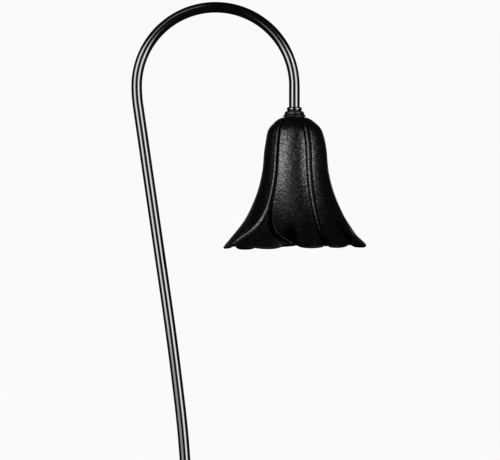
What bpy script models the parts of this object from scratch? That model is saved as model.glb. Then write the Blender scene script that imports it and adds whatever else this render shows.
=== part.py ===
"""Garden path light: a bent tube hook on a ground stake, with a cast bell-flower shade and a wedge lamp.

Frame: metres, +Z up. The origin is on the stake's axis at soil level. The hook lies in the XZ plane
and reaches out to +X, where the shade hangs. Positive Y is the back of the light.
"""

import math

import bmesh
import bpy
from mathutils import Euler

MM = 0.001
GAP = 0.3 * MM  # clearance between pieces that touch

# Stem: a tube bent in one plane, given bottom to top as a bender's list of (length, turn to the right)
TUBE_OUTER = 13.2 * MM
TUBE_WALL = 1.5 * MM
TUBE_FOOT = 36 * MM  # height of the tube's lower end
HOOK_RADIUS = 97.2 * MM
LEAN = math.radians(8.27)  # the long straight leans back from the shade
LOWER_LEAN = math.radians(6.5)
TUBE_BENDS = [
    (26 * MM, 0.0),
    (146 * MM, -LOWER_LEAN),
    (145 * MM, LOWER_LEAN - LEAN),
    (234.2 * MM, 0.0),
    (24.5 * MM, LEAN),
    (math.pi * HOOK_RADIUS, math.pi),
    (34.5 * MM, 0.0),
]
BEND_STEP = math.radians(7.5)
GENTLE_STEP = math.radians(1.7)

# Shade: a bell with three outer petals lapped over three inner ones
SHADE_WALL = 2.6 * MM
SHADE_HOLE_RADIUS = 5.2 * MM
NECK_RADIUS = 13.2 * MM
BELL_POINTS = [
    (NECK_RADIUS, 0.0),
    (18.4 * MM, 1.3 * MM),
    (24.6 * MM, 5.8 * MM),
    (32.8 * MM, 16.5 * MM),
    (37.5 * MM, 38.0 * MM),
    (40.4 * MM, 68.0 * MM),
    (48.4 * MM, 97.6 * MM),
    (63.0 * MM, 127.2 * MM),
    (88.0 * MM, 159.0 * MM),
]
PETALS = 3
MIDRIB_ANGLE = math.radians(-64)  # of the petal that faces the front
PETAL_HALF_WIDTH = math.radians(58)
PETAL_TIP_HALF_WIDTH = math.radians(28)
PETAL_TAPER_FROM = 100.0 * MM  # below the neck, where an outer petal starts to narrow
PETAL_TAPER_POWER = 2.1
PETAL_STEP = 1.5 * MM
PETAL_EDGE = math.radians(4)
PETAL_FADE = 12.0 * MM  # below the neck, where the step has its full height
RIM_LOBES = 12
RIM_LOBE_DEPTH = 3.4 * MM
RIM_LOBE_REACH = 8  # how soon the scallops fade out above the rim
SHADE_COLUMNS = 60
SHADE_ROWS = 16

# Head stack on the nipple, as (top, bottom) distances below the tube's end at the shade
LOCK_RING = (-8.4 * MM, -3.9 * MM)
CAP = (-3.4 * MM, 3.0 * MM)
GASKET = (3.3 * MM, 4.1 * MM)
SHADE_TOP = 4.4 * MM
INNER_WASHER = (7.3 * MM, 8.5 * MM)
NIPPLE_NUT = (8.8 * MM, 13.3 * MM)
CUP = (13.6 * MM, 56.0 * MM)
CUP_NUT = (15.0 * MM, 18.7 * MM)
NIPPLE = (-12.0 * MM, 20.4 * MM)
NIPPLE_BUSHING = (20.7 * MM, 22.9 * MM)
SOCKET = (29.5 * MM, 55.5 * MM)
NIPPLE_RADIUS = 4.8 * MM
NIPPLE_BORE = 3.3 * MM

# The lamp holder and the lamp, each distance measured down from the holder's top
SLOT_TOP = 7.7 * MM
SCREW_DROP = 15.5 * MM
CONTACT_REST = (4.9 * MM, 7.1 * MM, 24.0 * MM)
WEDGE_TOP = 10.5 * MM
LAMP_COLLAR = (26.8 * MM, 30.5 * MM)
BULB_CENTRE = 59.5 * MM

# Base stack, as heights above the soil
FLANGE_RADIUS = 32 * MM
FLANGE_TOP = 4 * MM
HUB_TOP = 52 * MM
HUB_RADIUS = (20.0 * MM, 17.5 * MM)
CHAMBER = (6 * MM, 33 * MM)
CHAMBER_RADIUS = 15.5 * MM
INSERT_RADIUS = 12.5 * MM
THREAD_RADIUS = 10.3 * MM
BLADE_DEPTH = 230 * MM
BLADE_HALF_WIDTH = 22 * MM
BLADE_THICKNESS = 3.6 * MM
GLAND_HEIGHT = 19 * MM
GLAND_FACE = 21.5 * MM  # distance of the gland's flat face from the stake's axis

LEAD_RADIUS = 1.05 * MM
LEAD_SPACING = 1.35 * MM  # of each lead from the stem's plane
LEAD_HOLE_OFFSET = 5.0 * MM
CONNECTOR_OFFSET = 6.5 * MM
CONNECTOR_TOP = 26.5 * MM
ROUND_STEPS = 28


# ---------------------------------------------------------------- helpers


def clear_scene():
    """Removes what the file opened with."""
    for obj in list(bpy.data.objects):
        bpy.data.objects.remove(obj, do_unlink=True)


def new_collection(name):
    collection = bpy.data.collections.new(name)
    bpy.context.scene.collection.children.link(collection)
    return collection


def make_material(name, colour, roughness, metallic=0.0, transmission=0.0):
    material = bpy.data.materials.new(name)
    material.use_nodes = True
    shader = material.node_tree.nodes["Principled BSDF"]
    shader.inputs["Base Color"].default_value = (*colour, 1.0)
    shader.inputs["Roughness"].default_value = roughness
    shader.inputs["Metallic"].default_value = metallic
    shader.inputs["Transmission Weight"].default_value = transmission
    return material


def place(obj, material, at=(0, 0, 0), turn=(0, 0, 0), group=None):
    """Links an object into its collection, gives it its material and puts it in place."""
    (group or model).objects.link(obj)
    if material:
        obj.data.materials.append(material)
    obj.location = at
    obj.rotation_euler = Euler(turn)
    return obj


def shade_smooth(mesh, sharp_from=40):
    mesh.shade_smooth()
    mesh.set_sharp_from_angle(angle=math.radians(sharp_from))


def turned(name, material, profile, at=(0, 0, 0), turn=(0, 0, 0), steps=ROUND_STEPS, group=None):
    """A profile of (radius, height) swept round Z. A profile off the axis is closed on itself."""
    mesh = bpy.data.meshes.new(name)
    corners = [(radius, 0.0, height) for radius, height in profile]
    edges = [(i, i + 1) for i in range(len(corners) - 1)]
    if profile[0][0] > 0:
        edges.append((len(corners) - 1, 0))
    mesh.from_pydata(corners, edges, [])
    obj = place(bpy.data.objects.new(name, mesh), material, at, turn, group)
    screw = obj.modifiers.new("turn", "SCREW")
    screw.axis = "Z"
    screw.steps = screw.render_steps = steps
    screw.use_merge_vertices = True
    screw.merge_threshold = 0.00001
    screw.use_smooth_shade = True
    return obj


def ring(name, material, outer, inner, span, axis_x, steps=ROUND_STEPS):
    """A plain ring between two heights, on a vertical axis at x."""
    low, high = span
    profile = [(outer, high), (outer, low), (inner, low), (inner, high)]
    return turned(name, material, profile, at=(axis_x, 0, 0), steps=steps)


def regular_outline(sides, radius, phase=0.0):
    steps = [phase + math.tau * i / sides for i in range(sides)]
    return [(radius * math.cos(a), radius * math.sin(a)) for a in steps]


def plate(name, material, outlines, thickness, at=(0, 0, 0), turn=(0, 0, 0), group=None):
    """A flat outline, with any further outlines as holes, of one thickness about its middle."""
    curve = bpy.data.curves.new(name, "CURVE")
    curve.dimensions = "2D"
    curve.fill_mode = "BOTH"
    curve.extrude = thickness / 2
    for outline in outlines:
        spline = curve.splines.new("POLY")
        spline.points.add(len(outline) - 1)
        for point, (x, y) in zip(spline.points, outline):
            point.co = (x, y, 0, 1)
        spline.use_cyclic_u = True
    return place(bpy.data.objects.new(name, curve), material, at, turn, group)


def hex_nut(name, material, across_flats, bore_radius, span, axis_x):
    low, high = span
    corner_radius = across_flats / 2 / math.cos(math.radians(30))
    outlines = [regular_outline(6, corner_radius), regular_outline(ROUND_STEPS, bore_radius)]
    return plate(name, material, outlines, high - low, at=(axis_x, 0, (low + high) / 2))


def wire(name, material, points, radius, resolution=2, caps=True):
    curve = bpy.data.curves.new(name, "CURVE")
    curve.dimensions = "3D"
    curve.bevel_depth = radius
    curve.bevel_resolution = resolution
    curve.use_fill_caps = caps
    spline = curve.splines.new("POLY")
    spline.points.add(len(points) - 1)
    for point, co in zip(spline.points, points):
        point.co = (*co, 1)
    return place(bpy.data.objects.new(name, curve), material)


def block(name, size, at, group=None, material=None):
    mesh = bpy.data.meshes.new(name)
    shape = bmesh.new()
    bmesh.ops.create_cube(shape, size=1.0)
    bmesh.ops.scale(shape, vec=size, verts=shape.verts)
    shape.to_mesh(mesh)
    shape.free()
    return place(bpy.data.objects.new(name, mesh), material, at, group=group)


def rod_cutter(name, radius, length, at, turn=(0, 0, 0), group=None, material=None):
    mesh = bpy.data.meshes.new(name)
    shape = bmesh.new()
    bmesh.ops.create_cone(
        shape, cap_ends=True, segments=ROUND_STEPS, radius1=radius, radius2=radius, depth=length
    )
    shape.to_mesh(mesh)
    shape.free()
    return place(bpy.data.objects.new(name, mesh), material, at, turn, group=group)


def as_mesh(obj):
    """The same object as a mesh, with a curve's loose caps welded to its sides."""
    bpy.context.view_layer.update()
    evaluated = obj.evaluated_get(bpy.context.evaluated_depsgraph_get())
    mesh = bpy.data.meshes.new_from_object(evaluated)
    shape = bmesh.new()
    shape.from_mesh(mesh)
    bmesh.ops.remove_doubles(shape, verts=shape.verts, dist=0.000001)
    bmesh.ops.recalc_face_normals(shape, faces=shape.faces)
    shape.to_mesh(mesh)
    shape.free()
    made = bpy.data.objects.new(obj.name, mesh)
    obj.users_collection[0].objects.link(made)
    made.matrix_world = obj.matrix_world.copy()
    name = obj.name
    bpy.data.objects.remove(obj, do_unlink=True)
    made.name = name
    return made


def combine(target, other, operation):
    """Joins or cuts with a Boolean. The other object becomes a hidden helper."""
    modifier = target.modifiers.new(other.name, "BOOLEAN")
    modifier.operation = operation
    modifier.solver = "EXACT"
    modifier.object = other
    other.hide_render = True
    other.display_type = "WIRE"
    return target


def cut(target, *others):
    for other in others:
        combine(target, other, "DIFFERENCE")
    return target


def join(target, *others):
    for other in others:
        combine(target, other, "UNION")
    return target


# ---------------------------------------------------------------- stem


def bent_path(bends):
    """Points of the tube's centreline, from its foot up, with a point at each small step of a bend."""
    x, z, heading = 0.0, TUBE_FOOT, 0.0  # heading 0 is straight up, and grows towards +X
    points = [(x, z)]
    for length, turn in bends:
        step_limit = BEND_STEP if abs(turn) > LEAN * 1.5 else GENTLE_STEP
        count = max(1, math.ceil(abs(turn) / step_limit))
        for _ in range(count):
            middle = heading + turn / count / 2
            chord = length / count
            if turn:
                radius = length / abs(turn)
                chord = 2 * radius * math.sin(abs(turn) / count / 2)
            x += chord * math.sin(middle)
            z += chord * math.cos(middle)
            heading += turn / count
            points.append((x, z))
    return points


def head_span(down):
    """The low and high end of a piece of the head stack."""
    top, bottom = down
    return (TUBE_END - bottom, TUBE_END - top)


def make_stem():
    points = [(x, 0, z) for x, z in STEM_LINE]
    stem = wire("hook_stem", gloss_black, points, TUBE_OUTER / 2, resolution=6, caps=False)
    wall = stem.modifiers.new("tube_wall", "SOLIDIFY")
    wall.thickness = TUBE_WALL
    wall.offset = -1
    return stem


def spread(start, end, side):
    """A lead's easy S-bend in the plane x = constant, from (x, offset, height) to another."""
    steps = 5
    points = []
    for i in range(steps + 1):
        share = i / steps
        ease = (1 - math.cos(math.pi * share)) / 2
        offset = start[1] + (end[1] - start[1]) * ease
        points.append((start[0], side * offset, start[2] + (end[2] - start[2]) * share))
    return points


def lead_path(side):
    """A lead's route: out of its connector, up through the stem and nipple, and into the holder."""
    chamber_end = (0.0, CONNECTOR_OFFSET, CONNECTOR_TOP + 0.5 * MM)
    route = spread(chamber_end, (0.0, LEAD_SPACING, TUBE_FOOT + 6 * MM), side)
    route += [(x, side * LEAD_SPACING, z) for x, z in STEM_LINE[1:-1]]
    nipple_end = (HEAD_X, LEAD_SPACING, TUBE_END - NIPPLE_BUSHING[1] - 0.5 * MM)
    holder_end = (HEAD_X, LEAD_HOLE_OFFSET, SOCKET_TOP)
    route += spread(nipple_end, holder_end, side)
    route.append((HEAD_X, side * LEAD_HOLE_OFFSET, SOCKET_TOP - 4.1 * MM))
    return route


def make_leads():
    for name, side in (("lead_front", -1), ("lead_back", 1)):
        wire(name, lead_rubber, lead_path(side), LEAD_RADIUS)


# ---------------------------------------------------------------- base


def make_stake():
    """The moulded stake: crossed blades, a flange at soil level and a hollow hub above it."""
    base, top = HUB_RADIUS
    outer = [
        (0, HUB_TOP),
        (top, HUB_TOP),
        (base, FLANGE_TOP + 3 * MM),
        (base + 3 * MM, FLANGE_TOP),
        (FLANGE_RADIUS, FLANGE_TOP),
        (FLANGE_RADIUS, 0),
        (0, 0),
    ]
    stake = turned("ground_stake", stake_plastic, outer)
    tip = 2.5 * MM
    half_outline = [
        (FLANGE_RADIUS - 1 * MM, 1 * MM),
        (FLANGE_RADIUS - 1 * MM, -3 * MM),
        (BLADE_HALF_WIDTH, -16 * MM),
        (BLADE_HALF_WIDTH * 0.86, -60 * MM),
        (6 * MM, 18 * MM - BLADE_DEPTH),
        (tip, -BLADE_DEPTH),
    ]
    outline = half_outline + [(-x, y) for x, y in reversed(half_outline)]
    for name, spin in (("blade_across", 0.0), ("blade_along", math.pi / 2)):
        blade = plate(
            name, None, [outline], BLADE_THICKNESS, turn=(math.pi / 2, 0, spin), group=cutters
        )
        join(stake, as_mesh(blade))
    facing_back = (-math.pi / 2, 0, 0)
    boss = rod_cutter(
        "gland_boss", 8 * MM, 8 * MM, (0, GLAND_FACE - 4 * MM, GLAND_HEIGHT), facing_back, cutters
    )
    join(stake, boss)
    low, high = CHAMBER
    seat = INSERT_RADIUS + GAP
    hollow = [
        (0, HUB_TOP + 1 * MM),
        (seat, HUB_TOP + 1 * MM),
        (seat, high),
        (CHAMBER_RADIUS, high - 2 * MM),
        (CHAMBER_RADIUS, low),
        (0, low),
    ]
    cut(stake, turned("hub_hollow", None, hollow, group=cutters))
    hole = rod_cutter(
        "gland_hole", 4.3 * MM, 16 * MM, (0, GLAND_FACE - 2 * MM, GLAND_HEIGHT), facing_back, cutters
    )
    cut(stake, hole)


def make_base_fittings():
    ring("stake_insert", brass, INSERT_RADIUS, THREAD_RADIUS + GAP, (CHAMBER[1], HUB_TOP), 0)
    tube_bore = TUBE_OUTER / 2 + GAP
    bushing_top = 62 * MM
    chamfer = 0.8 * MM
    bushing = [
        (THREAD_RADIUS - chamfer, bushing_top),
        (THREAD_RADIUS, bushing_top - chamfer),
        (THREAD_RADIUS, TUBE_FOOT - chamfer),
        (THREAD_RADIUS - chamfer, TUBE_FOOT - 2 * chamfer),
        (tube_bore, TUBE_FOOT - 2 * chamfer),
        (tube_bore, bushing_top),
    ]
    turned("stem_bushing", brass, bushing)
    washer_top = HUB_TOP + 1.6 * MM
    ring("stake_washer", rubber, 15 * MM, THREAD_RADIUS + GAP, (HUB_TOP + GAP, washer_top), 0)
    nut_span = (washer_top + GAP, washer_top + GAP + 6 * MM)
    hex_nut("jam_nut", gloss_black, 28 * MM, THREAD_RADIUS + GAP, nut_span, 0)


def make_grommet():
    """A rubber grommet in the hub's back wall, closed by a thin skin that the supply cable pierces."""
    lip, throat, bore = 6.4 * MM, 4.0 * MM, 2.6 * MM
    outer_face, seat_face, inner_end = GLAND_FACE + 2 * MM, GLAND_FACE + GAP, CHAMBER_RADIUS + 1 * MM
    skin_outside, skin_inside = outer_face - 0.9 * MM, outer_face - 1.6 * MM
    profile = [
        (0, skin_outside),
        (bore, skin_outside),
        (bore + 0.5 * MM, outer_face),
        (lip - 0.7 * MM, outer_face),
        (lip, outer_face - 0.7 * MM),
        (lip, seat_face),
        (throat, seat_face),
        (throat, inner_end),
        (bore, inner_end),
        (bore, skin_inside),
        (0, skin_inside),
    ]
    turned("cable_grommet", rubber, profile, at=(0, 0, GLAND_HEIGHT), turn=(-math.pi / 2, 0, 0), steps=20)


def make_wire_nuts():
    """Two closed twist-on connectors, where the stem's leads would meet the supply cable."""
    profile = [
        (0, CONNECTOR_TOP),
        (3.6 * MM, CONNECTOR_TOP),
        (4.4 * MM, 22 * MM),
        (4.0 * MM, 12 * MM),
        (2.6 * MM, 9 * MM),
        (0, 8.4 * MM),
    ]
    for name, side in (("wire_nut_front", -1), ("wire_nut_back", 1)):
        turned(name, connector_plastic, profile, at=(0, side * CONNECTOR_OFFSET, 0), steps=16)


# ---------------------------------------------------------------- shade


def smooth_line(points, spacing):
    """A Catmull-Rom curve through the points, read at even parameter steps."""
    line = []
    for i in range(len(points) - 1):
        before, start = points[max(i - 1, 0)], points[i]
        end, after = points[i + 1], points[min(i + 2, len(points) - 1)]
        for k in range(spacing):
            t = k / spacing
            line.append(
                tuple(
                    0.5
                    * (
                        2 * b
                        + (c - a) * t
                        + (2 * a - 5 * b + 4 * c - d) * t**2
                        + (3 * b - a - 3 * c + d) * t**3
                    )
                    for a, b, c, d in zip(before, start, end, after)
                )
            )
    return line + [points[-1]]


def read_along(line, share):
    """The point at a share of a line's length."""
    lengths = [math.dist(a, b) for a, b in zip(line, line[1:])]
    left = share * sum(lengths)
    for (a, b), length in zip(zip(line, line[1:]), lengths):
        if left <= length:
            return tuple(p + (q - p) * left / length for p, q in zip(a, b))
        left -= length
    return line[-1]


def from_midrib(angle):
    """Angle to the middle of the nearest outer petal."""
    pitch = math.tau / PETALS
    return abs((angle - MIDRIB_ANGLE + pitch / 2) % pitch - pitch / 2)


def petal_relief(angle, drop):
    """How far the surface lies under the outer petals, where an inner petal shows between them."""
    taper = max(0.0, drop - PETAL_TAPER_FROM) / (SHADE_HEIGHT - PETAL_TAPER_FROM)
    narrowing = (PETAL_HALF_WIDTH - PETAL_TIP_HALF_WIDTH) * min(taper, 1.0) ** PETAL_TAPER_POWER
    past_edge = (from_midrib(angle) - PETAL_HALF_WIDTH + narrowing) / PETAL_EDGE
    share = min(max(past_edge, 0.0), 1.0)
    fade = min(drop / PETAL_FADE, 1.0)
    return PETAL_STEP * fade * share * share * (3 - 2 * share)


def radius_at(drop):
    """The bell's radius at a distance below its top face."""
    for (r0, d0), (r1, d1) in zip(BELL_LINE, BELL_LINE[1:]):
        if drop <= d1:
            return r0 + (r1 - r0) * (drop - d0) / (d1 - d0)
    return BELL_LINE[-1][0]


def shape_petals(point):
    """Moves a point of the plain turned bell to the petals' surface and the scalloped rim."""
    if point.z == 0:
        return
    angle = math.atan2(point.y, point.x)
    lobe = abs(math.sin(RIM_LOBES / 2 * (angle - MIDRIB_ANGLE)))
    rise = RIM_LOBE_DEPTH * (1 - lobe) * (-point.z / SHADE_HEIGHT) ** RIM_LOBE_REACH
    drop = -point.z - rise
    radius = radius_at(drop) - petal_relief(angle, drop)
    point.xyz = (radius * math.cos(angle), radius * math.sin(angle), -drop)


def make_shade():
    """The casting: a turned bell whose points are moved to the petals, with a wall inside it."""
    shares = [row / SHADE_ROWS for row in range(SHADE_ROWS + 1)]
    profile = [(SHADE_HOLE_RADIUS, 0.0)] + [read_along(BELL_LINE, share) for share in shares]
    skin = bmesh.new()
    corners = [skin.verts.new((radius, 0.0, -drop)) for radius, drop in profile]
    edges = [skin.edges.new(pair) for pair in zip(corners, corners[1:])]
    bmesh.ops.spin(
        skin,
        geom=corners + edges,
        cent=(0, 0, 0),
        axis=(0, 0, 1),
        angle=math.tau,
        steps=SHADE_COLUMNS,
        use_merge=True,
    )
    for corner in skin.verts:
        shape_petals(corner.co)
    mesh = bpy.data.meshes.new("shade_shell")
    skin.to_mesh(mesh)
    skin.free()
    shade_smooth(mesh)
    at = (HEAD_X, 0, TUBE_END - SHADE_TOP)
    shade = place(bpy.data.objects.new("shade_shell", mesh), cast_black, at)
    wall = shade.modifiers.new("casting_wall", "SOLIDIFY")
    wall.thickness = SHADE_WALL
    wall.offset = -1
    wall.use_even_offset = True


# ---------------------------------------------------------------- head


def make_collar():
    """What shows above the shade: a lock ring on the tube and the flared cap under it."""
    tube_bore = TUBE_OUTER / 2 + GAP
    low, high = head_span(LOCK_RING)
    radius, bead = 9.2 * MM, 1.2 * MM
    lock_ring = [
        (radius - bead, high),
        (radius, high - bead),
        (radius, low + bead),
        (radius - bead, low),
        (tube_bore, low),
        (tube_bore, high),
    ]
    turned("lock_ring", gloss_black, lock_ring, at=(HEAD_X, 0, 0))
    low, high = head_span(CAP)
    seat = TUBE_END - GAP
    nipple_bore = NIPPLE_RADIUS + GAP
    cap = [
        (9.3 * MM, high),
        (9.9 * MM, high - 0.8 * MM),
        (10.6 * MM, high - 2.2 * MM),
        (12.6 * MM, low + 1.9 * MM),
        (NECK_RADIUS + 0.4 * MM, low + 0.9 * MM),
        (NECK_RADIUS + 0.4 * MM, low),
        (nipple_bore, low),
        (nipple_bore, seat),
        (tube_bore, seat),
        (tube_bore, high),
    ]
    turned("shade_cap", gloss_black, cap, at=(HEAD_X, 0, 0))


def make_head_fasteners():
    hole = NIPPLE_RADIUS + GAP
    ring("cap_gasket", rubber, 12.2 * MM, hole, head_span(GASKET), HEAD_X)
    ring("nipple", brass, NIPPLE_RADIUS, NIPPLE_BORE, head_span(NIPPLE), HEAD_X)
    ring("inner_washer", zinc_steel, 12.0 * MM, hole, head_span(INNER_WASHER), HEAD_X)
    hex_nut("nipple_nut", brass, 15 * MM, hole, head_span(NIPPLE_NUT), HEAD_X)
    hex_nut("cup_nut", brass, 15 * MM, hole, head_span(CUP_NUT), HEAD_X)
    bore = 2.75 * MM
    ring("nipple_bushing", cream_plastic, 4.6 * MM, bore, head_span(NIPPLE_BUSHING), HEAD_X, steps=20)


def make_socket_cup():
    low, high = head_span(CUP)
    wall, radius, corner = 1.0 * MM, 15.0 * MM, 3.0 * MM
    inner = radius - wall
    profile = [
        (radius - corner, high),
        (radius - corner * 0.3, high - corner * 0.3),
        (radius, high - corner),
        (radius, low),
        (inner, low),
        (inner, high - corner),
        (inner - (corner - wall) * 0.3, high - wall - (corner - wall) * 0.3),
        (radius - corner, high - wall),
        (NIPPLE_RADIUS + GAP, high - wall),
        (NIPPLE_RADIUS + GAP, high),
    ]
    cup = turned("socket_cup", satin_aluminium, profile, at=(HEAD_X, 0, 0))
    cut(cup, screw_hole("cup_screw_hole"))


def screw_hole(name):
    return rod_cutter(
        name, 1.8 * MM, 36 * MM, (HEAD_X, 0, SCREW_HEIGHT), (0, math.pi / 2, 0), cutters
    )


def make_socket():
    """The lamp holder: a round body with a wedge slot below, and a pocket for each contact."""
    low, high = head_span(SOCKET)
    chamfer = 1.0 * MM
    radius = 13.6 * MM
    profile = [
        (0, high),
        (radius - chamfer, high),
        (radius, high - chamfer),
        (radius, low + chamfer),
        (radius - chamfer, low),
        (0, low),
    ]
    socket = turned("socket_body", porcelain, profile, at=(HEAD_X, 0, 0), steps=40)
    slot_top = SOCKET_TOP - SLOT_TOP
    slot_height = slot_top - low + 2 * MM
    slot_size = (17.0 * MM, 7.0 * MM, slot_height)
    cut(socket, block("wedge_slot", slot_size, (HEAD_X, 0, slot_top - slot_height / 2), cutters))
    for name, side in (("front", -1), ("back", 1)):
        pocket_size = (6.0 * MM, 3.4 * MM, 5.4 * MM)
        pocket_at = (HEAD_X, side * 4.3 * MM, SOCKET_TOP - 7.0 * MM)
        hole_at = (HEAD_X, side * LEAD_HOLE_OFFSET, SOCKET_TOP - 1.5 * MM)
        cut(
            socket,
            block(f"contact_pocket_{name}", pocket_size, pocket_at, cutters),
            rod_cutter(f"lead_hole_{name}", 1.45 * MM, 8 * MM, hole_at, group=cutters),
        )
    cut(socket, screw_hole("socket_screw_hole"))


def make_contacts():
    """Two bent brass strips, one on each flat of the lamp's wedge."""
    strip, width = 0.5 * MM, 4.6 * MM
    near, tail = 2.6 * MM, 5.6 * MM
    top, knee, foot = (-drop for drop in CONTACT_REST)
    outline = [
        (near, foot),
        (near + strip, foot),
        (near + strip, knee - strip),
        (tail, knee - strip),
        (tail, top),
        (tail - strip, top),
        (tail - strip, knee),
        (near, knee),
    ]
    for name, side in (("contact_front", -1), ("contact_back", 1)):
        turn = (math.pi / 2, 0, side * math.pi / 2)
        plate(name, brass, [outline], width, at=(HEAD_X, 0, SOCKET_TOP), turn=turn)


def make_socket_screws():
    shank, head, tip, under_head, top = 1.45 * MM, 2.7 * MM, 10.2 * MM, 15.3 * MM, 17.0 * MM
    profile = [
        (0, top),
        (head * 0.6, top),
        (head, top - 0.9 * MM),
        (head, under_head),
        (shank, under_head),
        (shank, tip),
        (0, tip),
    ]
    for name, side in (("socket_screw_left", -1), ("socket_screw_right", 1)):
        at = (HEAD_X, 0, SCREW_HEIGHT)
        turned(name, zinc_steel, profile, at=at, turn=(0, side * math.pi / 2, 0), steps=16)


# ---------------------------------------------------------------- lamp


def make_lamp():
    """A wedge-base lamp: base, glass bulb and filament, all of which pull out together."""
    collar_top, collar_bottom = (-drop for drop in LAMP_COLLAR)
    collar_radius, chamfer = 8.6 * MM, 0.8 * MM
    collar = [
        (0, collar_top),
        (collar_radius - chamfer, collar_top),
        (collar_radius, collar_top - chamfer),
        (collar_radius, collar_bottom),
        (0, collar_bottom),
    ]
    base = turned("bulb_base", cream_plastic, collar, at=(HEAD_X, 0, SOCKET_TOP))
    half_width, taper, thickness = 7.9 * MM, 1.2 * MM, 4.4 * MM
    half_outline = [
        (half_width, collar_top - 1 * MM),
        (half_width, -WEDGE_TOP - taper),
        (half_width - taper, -WEDGE_TOP),
    ]
    outline = half_outline + [(-x, y) for x, y in reversed(half_outline)]
    upright = (math.pi / 2, 0, 0)
    wedge = plate("wedge", None, [outline], thickness, (HEAD_X, 0, SOCKET_TOP), upright, cutters)
    join(base, as_mesh(wedge))
    make_bulb(collar_bottom - GAP)
    make_filament(collar_bottom - GAP)


def make_bulb(top):
    """The glass: a straight neck that swells into a ball, open at the neck."""
    neck, ball, wall, ball_steps = 6.9 * MM, 12.7 * MM, 0.8 * MM, 9
    first = math.asin((neck + 1.2 * MM) / ball)
    angles = [first + (math.pi - first) * i / ball_steps for i in range(ball_steps)]

    def line_at(depth):
        radius = ball - depth
        line = [(neck - depth, top), (neck - depth, top - 9 * MM)]
        line.append((neck - depth + 0.5 * MM, top - 13 * MM))
        line += [(radius * math.sin(a), radius * math.cos(a) - BULB_CENTRE) for a in angles]
        return line + [(0.0, -BULB_CENTRE - radius)]

    profile = line_at(wall)[::-1] + line_at(0.0)
    turned("bulb_glass", glass, profile, at=(HEAD_X, 0, SOCKET_TOP), steps=20)


def make_filament(foot):
    """One wire: up a leg, across in a coil and down the other leg."""
    half_gap = 3.2 * MM
    turns, coil_radius, points_a_turn = 6, 0.9 * MM, 8
    count = turns * points_a_turn
    points = [(HEAD_X - half_gap, 0, SOCKET_TOP + foot)]
    for i in range(count + 1):
        angle = math.tau * i / points_a_turn
        along = HEAD_X - half_gap + 2 * half_gap * i / count
        lift = coil_radius * (1 - math.cos(angle))
        points.append((along, coil_radius * math.sin(angle), SOCKET_TOP - BULB_CENTRE + lift))
    points.append((HEAD_X + half_gap, 0, SOCKET_TOP + foot))
    wire("bulb_filament", tungsten, points, 0.22 * MM, resolution=0)


def hang_on_axes():
    """Parents each moving group to an empty on its joint's axis, with every piece left in its place."""
    lamp = ["bulb_base", "bulb_glass", "bulb_filament"]
    apart = ["lock_ring", "shade_shell", *lamp]
    base = ["ground_stake", "stake_insert", "stake_washer", "jam_nut", "cable_grommet"]
    base += ["wire_nut_front", "wire_nut_back"]
    stem = [obj.name for obj in model.objects if obj.name not in apart + base]
    groups = {
        "stem_axis": ((0, 0, HUB_TOP), stem),
        "lock_ring_axis": ((HEAD_X, 0, TUBE_END), ["lock_ring"]),
        "shade_axis": ((HEAD_X, 0, TUBE_END), ["shade_shell"]),
        "lamp_axis": ((HEAD_X, 0, SOCKET_TOP), lamp),
    }
    for name, (at, members) in groups.items():
        empty = place(bpy.data.objects.new(name, None), None, at)
        bpy.context.view_layer.update()
        for member in members:
            obj = bpy.data.objects[member]
            obj.parent = empty
            obj.matrix_parent_inverse = empty.matrix_world.inverted()


clear_scene()
model = new_collection("bell_flower_path_light")
cutters = new_collection("cutters")

gloss_black = make_material("gloss_black_enamel", (0.012, 0.012, 0.013), 0.25)
cast_black = make_material("textured_black_casting", (0.022, 0.023, 0.024), 0.48)
stake_plastic = make_material("stake_plastic", (0.02, 0.02, 0.02), 0.6)
rubber = make_material("black_rubber", (0.025, 0.025, 0.025), 0.8)
lead_rubber = make_material("lead_insulation", (0.03, 0.03, 0.032), 0.55)
brass = make_material("brass", (0.72, 0.55, 0.26), 0.35, metallic=1.0)
zinc_steel = make_material("zinc_steel", (0.62, 0.63, 0.64), 0.35, metallic=1.0)
satin_aluminium = make_material("satin_aluminium", (0.75, 0.76, 0.77), 0.35, metallic=1.0)
porcelain = make_material("socket_porcelain", (0.82, 0.8, 0.75), 0.35)
cream_plastic = make_material("cream_plastic", (0.75, 0.73, 0.68), 0.4)
connector_plastic = make_material("connector_plastic", (0.05, 0.12, 0.3), 0.5)
glass = make_material("bulb_glass", (0.95, 0.96, 0.97), 0.03, transmission=1.0)
tungsten = make_material("tungsten", (0.35, 0.34, 0.33), 0.4, metallic=1.0)

STEM_LINE = bent_path(TUBE_BENDS)
HEAD_X, TUBE_END = STEM_LINE[-1]
SOCKET_TOP = TUBE_END - SOCKET[0]
SCREW_HEIGHT = SOCKET_TOP - SCREW_DROP
BELL_LINE = smooth_line(BELL_POINTS, 8)
SHADE_HEIGHT = BELL_POINTS[-1][1]

make_stake()
make_base_fittings()
make_grommet()
make_wire_nuts()
make_stem()
make_leads()
make_collar()
make_head_fasteners()
make_shade()
make_socket_cup()
make_socket()
make_contacts()
make_socket_screws()
make_lamp()
hang_on_axes()
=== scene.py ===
# %% [markdown]
# # A garden path light with a bell-flower shade
#
# A slim black tube bent into a hook stands on a ground stake. A cast flower hangs mouth down from the
# hook and hides a small lamp. This script takes the working model as a fixed frame, lays a finely
# shaped skin over each piece that shows, and gives every piece a finish made of shader nodes.
#
# Shapes and grains are worked out in millimetres and become metres when a mesh or a material is made.
# Z is up. The stake stands on the Z axis and the hook reaches towards +X.

# %% Load the frame
import math

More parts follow.
